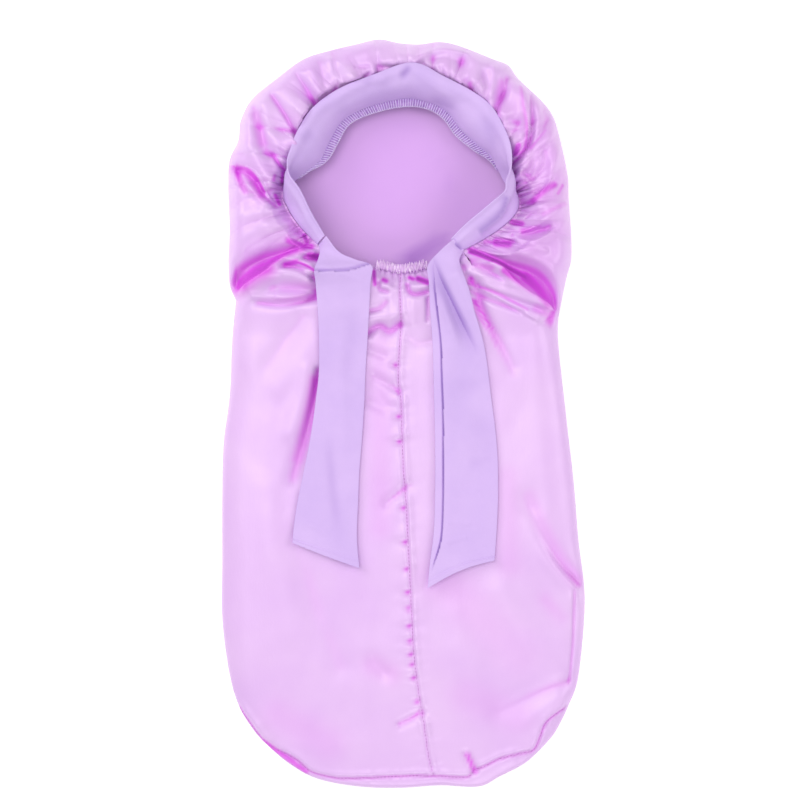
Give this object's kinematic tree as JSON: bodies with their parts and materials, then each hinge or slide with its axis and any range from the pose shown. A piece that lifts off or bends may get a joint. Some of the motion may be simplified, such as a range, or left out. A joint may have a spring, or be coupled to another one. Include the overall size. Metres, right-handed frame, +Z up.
{
  "type": "long braid bonnet with tie band",
  "caption": "Long satin bonnet for braids lying flat: gathered hood round a face opening with a stretch band and two ties, and a long rounded sleeve.",
  "frame": {"origin": "on the surface that the bonnet lies on, under the middle of its outline", "axes": "+Y from the sleeve's rounded end to the crown, +Z up out of the face opening, +X to the right seen from above"},
  "size_m": [0.2904, 0.598, 0.05],
  "materials": {
    "satin": "glossy satin, pink lilac",
    "band_cloth": "matt stretch cloth, lavender",
    "elastic_cloth": "satin shirred and oversewn"
  },
  "bodies": {
    "root": {"satin_bag": "satin", "face_band": "band_cloth", "tie_left": "band_cloth", "tie_right": "band_cloth", "nape_elastic": "elastic_cloth"}
  },
  "joints": []
}
